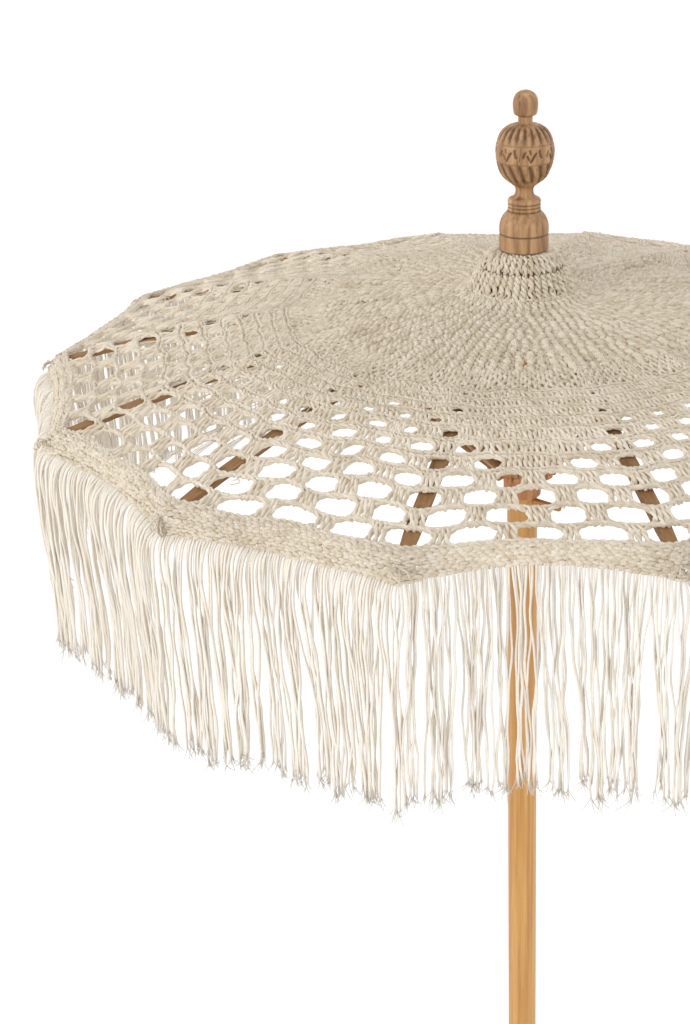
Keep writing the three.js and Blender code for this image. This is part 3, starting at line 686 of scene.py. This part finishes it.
# -- the dense part: rows of thick two-strand posts that stand in columns, with thinner ones behind
s = s2 + 0.0035
s_lace = s_at(0.400)
COLUMNS = [(0.105, 48), (0.128, 54), (0.155, 62), (0.185, 71), (0.225, 82), (0.265, 93), (0.9, 104)]
ROW_H = 0.0225
k = 0
while s < s_at(0.335):
    r = float(r_at(s + ROW_H / 2))
    n = next(c for lim, c in COLUMNS if r < lim)
    p = 2 * math.pi * r / n
    rad, wind = min(0.0042, 0.275 * p), min(0.0030, 0.18 * p)
    pc = (np.arange(n) + 0.5) * N / n
    tilt = rng.normal(0.0010, 0.0009, n)
    posts(np.full(n, s + ROW_H / 2), pc, -tilt, tilt, ROW_H / 2, rad, 1.2, wind, 13, 0.0014, 5, low=0.55)
    behind = (np.arange(n) + 1.0) * N / n
    if 0.292 < r < 0.315: behind = behind[~((behind > 0.28) & (behind < 0.66))]      # a few gaps at the front, as worked
    posts(np.full(len(behind), s + ROW_H / 2), behind, np.zeros(len(behind)), np.zeros(len(behind)), ROW_H / 2, min(0.0040, 0.25 * p), 0.9, wind * 0.7, 9, -0.0022, 4, over=True, low=0.6)
    s += ROW_H
    k += 1
# close rows of looped stitches, fuzzier, down to the lace
while s < s_lace - 0.004:
    r = float(r_at(s))
    n = 168
    fuzzy = smooth(0.30, 0.38, r)
    row(s, n, 0.5 + 0.5 * (r > 0.345) * (k % 2), "v", L=0.0108, rad=0.0034, jit=0.00030 + 0.0005 * float(fuzzy), lift=0.0020, spread=0.31, open_=True)
    s += 0.0106
    k += 1
# short ridges where the worked rows meet
for r in (0.345, 0.372):
    n = int(round(2 * math.pi * r / 0.010 / 14) * 14)
    row(s_at(r), n, 0.3, "b", L=0.0055, rad=0.0016, lift=0.0030, over=True)

# -- the lace: eleven rows of four cells to a panel, each row half a cell on from the last
RB = [0.400, 0.4235, 0.4485, 0.4745, 0.5035, 0.5385, 0.5745, 0.6120, 0.6505, 0.6900, 0.7290, 0.7670]
WR = [0.18, 0.22, 0.28, 0.33, 0.38, 0.44, 0.48, 0.55, 0.60, 0.62, 0.69]
HR = [0.26, 0.30, 0.35, 0.42, 0.48, 0.58, 0.68, 0.84, 0.93, 0.96, 0.93]
FRONT = [0.60, 0.60, 0.60, 0.46, 0.37, 0.27, 0.14, -1, -1, -1, -1]   # half width of the closed wedge in panel 1
cells = []
for j in range(11):
    off = 0.0 if (10 - j) % 2 == 0 else 0.5
    for c in range(4 * N):
        pc = (c + off) / 4.0
        t = (pc % 1.0); panel = int(math.floor(pc)) % N
        at_rib = min(t, 1 - t) < 0.01
        open_ = True
        if panel == 0 and not at_rib and abs(t - 0.5) < FRONT[j] + 0.01: open_ = False
        if j <= 1 and not at_rib: open_ = rng.random() < (0.25 if j == 0 else 0.5) and open_
        if j == 2 and panel != 0 and not at_rib: open_ = rng.random() < 0.8
        cells.append((j, pc, open_, panel))
S_RB = [s_at(r) for r in RB]
def wave_y(j, phi):
    """How far the bar at the inner side of row j is pushed off its ring: inwards over an open cell."""
    off = 0.0 if (10 - j) % 2 == 0 else 0.5
    return -0.0026 * np.cos(2 * np.pi * (phi * 4 - off))
def strands_round(sc, y_of, lay, rad, wind, K=62, lift=0.0012, sides=4, over=False):
    """Two wound strands that run right round at sc, one length to each gore; y_of(phi) is the way off the ring."""
    r = float(r_at(sc))
    u = np.linspace(-0.5, 0.5, K)[None]
    pc = np.arange(N, dtype=float)
    phi = pc[:, None] + u
    turns = np.round(2 * math.pi * r / lay) / N
    for k in (0, 1):
        a = 2 * np.pi * turns * phi + np.pi * k
        L = np.stack([u * r * STEP + 0 * phi, y_of(phi) + wind * np.cos(a), lift + wind * np.sin(a)], -1)
        emit(np.full(N, sc), pc, L, rad * (1 + 0.06 * np.sin(23 * phi + k)), sides, 1.0, over=over)
# cords laid behind the last close rows
for r in (0.352, 0.363, 0.374, 0.385, 0.394):
    strands_round(s_at(r), lambda phi: 0.0 * phi, 0.022, 0.0028, 0.0020, K=40, lift=-0.0030, over=True)
# bars between the rows: one cord outside, two side by side where the work is closer
for b in range(12):
    wave = lambda phi, b=b: wave_y(min(b, 10), phi) * (0.5 if b < 4 else 1.0) * (0.3 if b == 11 else 1.0)
    if b >= 8:
        strands_round(S_RB[b], wave, 0.023, 0.0024, 0.0019)
    else:
        for off in (-0.0040, 0.0042):
            strands_round(S_RB[b] + off, wave, 0.021, 0.0023, 0.0018)
# cells: clusters of upright stitches between the holes, and right across where a cell is closed
A = {k: [] for k in ("s", "p", "xa", "xb", "half")}
arcs = []
for j, pc, open_, panel in cells:
    sc = (S_RB[j] + S_RB[j + 1]) / 2
    half = (S_RB[j + 1] - S_RB[j]) / 2
    r = float(r_at(sc))
    pitch = 2 * math.pi * r / (4 * N)
    wc = pitch * (1 - WR[j])
    npost = max(2, int(round(wc / 0.0079)))
    for q in range(npost):                       # the cluster half a cell on from the hole
        x = ((q + 0.5) / npost - 0.5) * wc
        A["s"].append(sc); A["p"].append(pc + 0.125); A["half"].append(half)
        A["xa"].append(x * 0.80 + rng.normal(0, 0.0005)); A["xb"].append(x * 1.16 + rng.normal(0, 0.0005))
    if not open_:
        w = pitch * WR[j]
        m = max(2, int(round(w / 0.0072)))
        for q in range(m):
            x = ((q + 0.5) / m - 0.5) * w
            A["s"].append(sc); A["p"].append(pc); A["half"].append(half)
            A["xa"].append(x * 1.04 + rng.normal(0, 0.0007)); A["xb"].append(x * 0.96 + rng.normal(0, 0.0008))
    else:
        arcs.append((j, pc, sc, half, pitch * WR[j], panel))
A = {k: np.array(v) for k, v in A.items()}
posts(A["s"], A["p"], A["xa"], A["xb"], A["half"], rad=0.00265, K=7, over=True)
# the cords of chain that edge each hole: an arch inside, a flatter one outside
KA = 16
for j in range(11):
    mine = [a for a in arcs if a[0] == j]
    if not mine: continue
    M = len(mine)
    sc = np.array([a[2] for a in mine]); pc = np.array([a[1] for a in mine])
    half = np.array([a[3] for a in mine])[:, None]; w = np.array([a[4] for a in mine])[:, None] * rng.uniform(0.94, 1.04, (M, 1))
    hh = half * HR[j] * rng.uniform(0.95, 1.03, (M, 1))
    t = np.linspace(-1, 1, KA)[None]
    rr, ww = (0.0022, 0.0017) if j > 4 else (0.0018, 0.0014)
    skew = rng.normal(0, 0.05, (M, 1))
    for side in (-1, 1):
        ph = rng.uniform(0, 6.3, (M, 1))
        lay = 0.019 if side < 0 else 0.012
        for k in (0, 1):
            lip = rr + ww
            a = ph + np.pi * k + np.pi * t * w / lay
            bend = np.abs(t) ** (2.8 if side < 0 else 4.4)
            y = side * (hh + lip) * (1 - bend * (0.66 if side < 0 else 0.50)) + ww * np.cos(a) + skew * w * 0.1 * t
            x = t * (w / 2 + lip * 0.8) + 0 * y
            h = 0.0014 + ww * np.sin(a)
            pts = np.stack([x, y, h + 0 * y], -1) + rng.normal(0, 0.00025, (M, KA, 3))
            emit(sc, pc, pts, rr, 4, 1.0, over=True)
# fine loose threads across some of the holes of the left panels
T = []
for j, pc, sc, half, w, panel in arcs:
    if 3 <= j <= 9 and 2 <= panel <= 8 and rng.random() < (0.55 if j < 8 else 0.22): T.append((sc, pc, half, w))
for sc, pc, half, w in T:
    q = int(rng.integers(2, 6)); x0 = rng.normal(0, w * 0.12); t = np.linspace(0, 1, 6)[None]
    xa = x0 + rng.normal(0, w * 0.05, (q, 1)); xb = x0 + np.linspace(-0.30, 0.30, q)[:, None] * w * rng.uniform(0.5, 1.1)
    L = np.stack([xa * (1 - t) + xb * t + 0.001 * np.sin(5 * t + q), half * (-1.0 + 2.0 * t) + 0 * xa, 0.001 + 0 * t + 0 * xa], -1)
    emit(np.full(q, sc), np.full(q, pc), L, 0.0007, 4, 1.0, over=True)

# -- the border band: close rows that turn down over the rib tips
BW = 0.0087
sb, kk = S_RB[11] + 0.0070, 0
while sb < S_END + 0.0125:
    row(sb, 35 * N, 0.5 * (kk % 2), "b", L=BW, rad=0.0028, lift=0.0026 + 0.0010 * (kk % 2), jit=0.0007)
    sb += BW
    kk += 1
S_LOW = sb - BW
# ends of the cord that ties each corner to its rib, and stray loops along the band
for i in range(N):
    q = int(rng.integers(5, 8)); t = np.linspace(0, 1, 8)[None]
    ang = rng.uniform(-1.3, 1.3, (q, 1)); ln = rng.uniform(0.012, 0.026, (q, 1))
    curl = rng.normal(0, 0.6, (q, 1))
    x = np.cumsum(np.sin(ang + curl * t) * ln / 8, axis=1); y = np.cumsum(np.cos(ang + curl * t) * ln / 8, axis=1)
    h = 0.004 + 0.010 * np.sin(np.pi * t * 0.7) * rng.uniform(0.5, 1.4, (q, 1))
    emit(np.full(q, S_B + 0.030), np.full(q, i + 0.0), np.stack([x, y, h], -1), 0.0013, 4, 1.0, over=True)
q = 40
t = np.linspace(0, 1, 12)[None]
x = rng.uniform(0.005, 0.016, (q, 1)) * np.sin(2 * np.pi * t * rng.uniform(0.3, 0.8, (q, 1)) + rng.uniform(0, 6.3, (q, 1))) + rng.normal(0, 0.006, (q, 1)) * t
y = rng.uniform(0.003, 0.012, (q, 1)) * np.cos(2 * np.pi * t * rng.uniform(0.3, 0.9, (q, 1)) + rng.uniform(0, 6.3, (q, 1)))
h = 0.003 + 0.004 * np.sin(np.pi * t) + 0 * x
sc = np.array([s_at(r) for r in rng.uniform(0.16, 0.79, q)])
emit(sc, rng.uniform(0, N, q), np.stack([x, y, h], -1), 0.0008, 4, 1.0, over=True)

def finish_piece(y, name, mat):
    o = y.mesh(name, mat)
    return o

cone_o = finish_piece(cone, "crochet_cone", CROCHET)
cone2_o = finish_piece(cone2, "crochet_cone_over", CROCHET)
for o in (cone_o, cone2_o):
    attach(o, "root"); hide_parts("canopy")
collar_o, gore_o = [], []
for i, sid in enumerate(IDS):
    az = az_of(i)
    er = np.array([math.cos(az), math.sin(az), 0.0])
    c = finish_piece(collars[i], "crochet_collar_" + sid, CROCHET)
    c2 = finish_piece(collars2[i], "crochet_collar_over_" + sid, CROCHET)
    a, b = er * 0.064, er * 0.150
    for o in (c, c2):
        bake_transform(o)
        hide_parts("canopy")
    g = finish_piece(gores[i], "crochet_gore_" + sid, CROCHET)
    g2 = finish_piece(nets[i], "crochet_net_" + sid, CROCHET)
    for o in (g, g2):
        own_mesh(o)
        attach(o, "rib_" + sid)
        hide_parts("canopy")
    collar_o.append((c, c2)); gore_o.append((g, g2))

# ---- fringe: cotton strands knotted into the band's lower edge --------------------------
fringe_o = []
BULGE = [1.0, 0.9, 1.15, 1.3, 1.35, 1.1, 1.0, 0.95, 1.0, 1.1, 1.0, 0.95, 1.0, 0.9]
for i, sid in enumerate(IDS):
    F = Yarns()
    width = 2 * R * math.sin(STEP / 2)
    M = 94
    base_phi = i - 0.5 + (np.arange(M) + 0.5) / M + rng.normal(0, 0.0014, M)
    clump, c, left = np.zeros(M, int), 0, 0      # neighbouring strands that hang together
    for k in range(M):
        if left == 0:
            c += 1; left = int(rng.integers(3, 9))
        clump[k] = c; left -= 1
    ctr = np.array([base_phi[clump == q].mean() for q in clump])
    shift = (rng.normal(0, 0.007, c + 1))[clump]
    K = 24
    t = (np.linspace(0, 1, K) ** 1.35)[None]     # closer points where the strand leaves the edge
    length = 0.322 + rng.normal(0, 0.007, M) + rng.normal(0, 0.007, c + 1)[clump]
    length = np.clip(length, 0.292, 0.342)[:, None]
    edge = np.full(M, S_LOW + 0.0015)
    top = surf(edge, base_phi)
    tang = surf(edge, base_phi + 0.01) - surf(edge, base_phi - 0.01)
    tang[:, 2] = 0; tang /= np.linalg.norm(tang, axis=1, keepdims=True)
    outn = np.cross(tang, [0, 0, 1.0])
    outn = outn * np.sign((outn[:, :2] * top[:, :2]).sum(1))[:, None]
    u = t * length
    gather = smooth(0.05, 0.45, t) * 0.30 * rng.uniform(0.5, 1.5, (M, 1))
    lat = ((ctr - base_phi) * width)[:, None] * gather + shift[:, None] * smooth(0.05, 0.9, t)
    for f, a in ((0.8, 0.0030), (1.9, 0.0016), (4.3, 0.0007)):
        lat = lat + a * np.sin(2 * np.pi * (f * t + rng.random((M, 1)))) * smooth(0, 0.2, t)
    bulge = (0.0165 + rng.normal(0, 0.0022, (M, 1)) + rng.normal(0, 0.002, (c + 1))[clump][:, None]) * BULGE[i]
    dep = bulge * (1 - np.exp(-u / 0.014)) * (1 - 0.62 * smooth(0.10, 0.85, t))
    for f, a in ((1.1, 0.0022), (3.3, 0.0008)):
        dep = dep + a * np.sin(2 * np.pi * (f * t + rng.random((M, 1)))) * smooth(0, 0.2, t)
    dep = dep - 0.0040
    P = top[:, None, :] + lat[..., None] * tang[:, None, :] + dep[..., None] * outn[:, None, :]
    P[..., 2] = top[:, None, 2] - 0.0005 - (u - 0.35 * bulge * (1 - np.exp(-u / 0.014)))
    Nn = np.broadcast_to(outn[:, None, :], P.shape)
    rad = 0.0020 * rng.uniform(0.85, 1.15, (M, 1)) * (1 - 0.25 * smooth(0.96, 1.0, t)) * (1 + 0.04 * np.sin(40 * t + rng.uniform(0, 6, (M, 1))))
    F.add(P, Nn, rad, 4)
    # frayed ends: a few fine fibres from each tip
    q = 4
    tip = np.repeat(P[:, -1], q, 0); dirs = np.repeat(P[:, -1] - P[:, -2], q, 0); dirs /= np.linalg.norm(dirs, axis=1, keepdims=True)
    spread = rng.normal(0, 0.30, (M * q, 3)); spread[:, 2] *= 0.3
    ln = rng.uniform(0.006, 0.017, (M * q, 1, 1))
    tt = np.linspace(0, 1, 5)[None, :, None]
    FP = tip[:, None, :] - dirs[:, None, :] * 0.004 + (dirs[:, None, :] * tt + spread[:, None, :] * tt ** 1.6) * (ln + 0.004)
    F.add(FP, np.broadcast_to([0.3, 1.0, 0.1], FP.shape), 0.00085 * (1 - 0.5 * tt[..., 0]), 3)
    fo = finish_piece(F, "fringe_strands_" + sid, FRINGE)
    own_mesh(fo)
    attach(fo, "fringe_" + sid)
    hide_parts("fringe_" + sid)
    fringe_o.append(fo)

for i, sid in enumerate(IDS):
    wc = 2 * CUT_B * math.sin(STEP / 2)
    c, c2 = collar_o[i]; g, g2 = gore_o[i]
tri = lambda o: len(o.data.loops) - 2 * len(o.data.polygons)
for what, obs in (("cone", [cone_o, cone2_o]), ("collar", [c for c, _ in collar_o]), ("collar over", [c for _, c in collar_o]), ("gore", [g for g, _ in gore_o]), ("net", [g for _, g in gore_o]), ("fringe", fringe_o)):
    print("TRIS", what, sum(tri(o) for o in obs))
